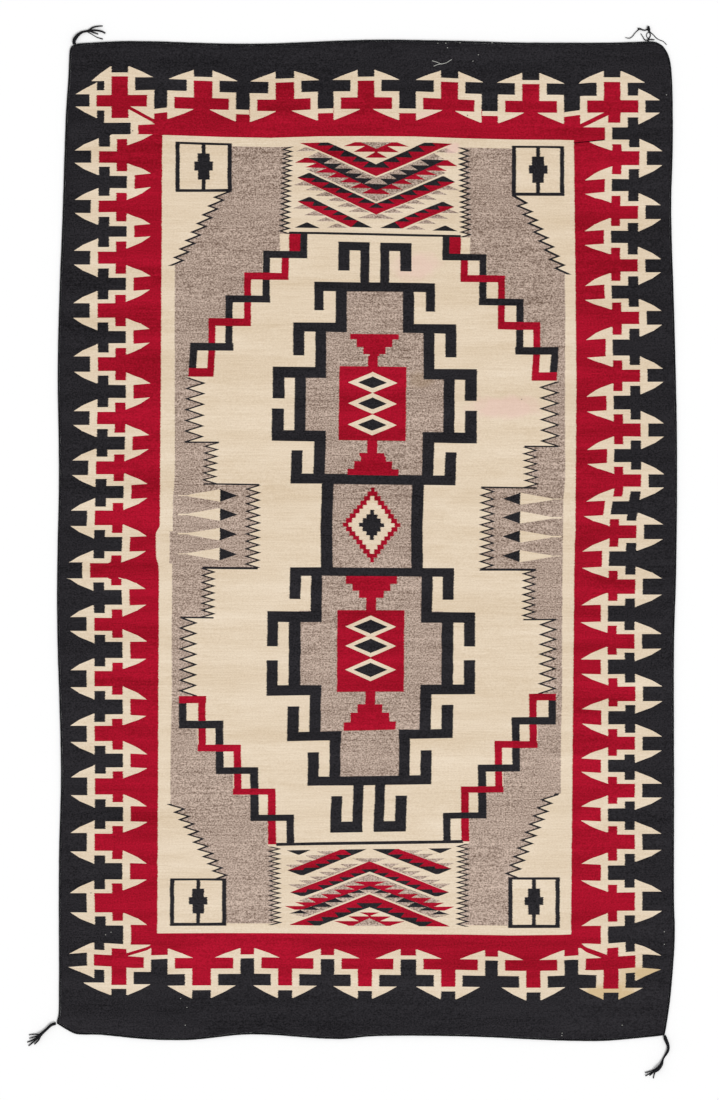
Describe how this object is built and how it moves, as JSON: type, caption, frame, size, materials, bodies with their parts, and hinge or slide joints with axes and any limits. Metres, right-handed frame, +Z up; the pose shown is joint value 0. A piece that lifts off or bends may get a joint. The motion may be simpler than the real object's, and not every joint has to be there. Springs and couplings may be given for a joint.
{
  "type": "handwoven wool floor rug",
  "caption": "Flat handwoven wool rug with uneven edges, a cord along each edge, three corner tassels and one worn corner knot.",
  "frame": {"origin": "on the floor under the middle of the rug, in its flat underside", "axes": "+X across the rug's width, +Y along its length towards the end with the worn corner knot, +Z up out of its upper face"},
  "size_m": [1.5598, 2.5265, 0.01],
  "materials": {
    "woven_wool": "weft-faced handwoven wool in black, red, cream and heathered grey, matte, with fine ribs",
    "black_yarn": "plied black wool yarn, matte, a little fuzzy"
  },
  "bodies": {
    "root": {"rug_body": "woven_wool", "side_cord_left": "black_yarn", "side_cord_right": "black_yarn", "edge_cord_top": "black_yarn", "edge_cord_bottom": "black_yarn", "tassel_top_left": "black_yarn", "tassel_top_right": "black_yarn", "tassel_bottom_left": "black_yarn", "tassel_bottom_right": "black_yarn"}
  },
  "joints": []
}
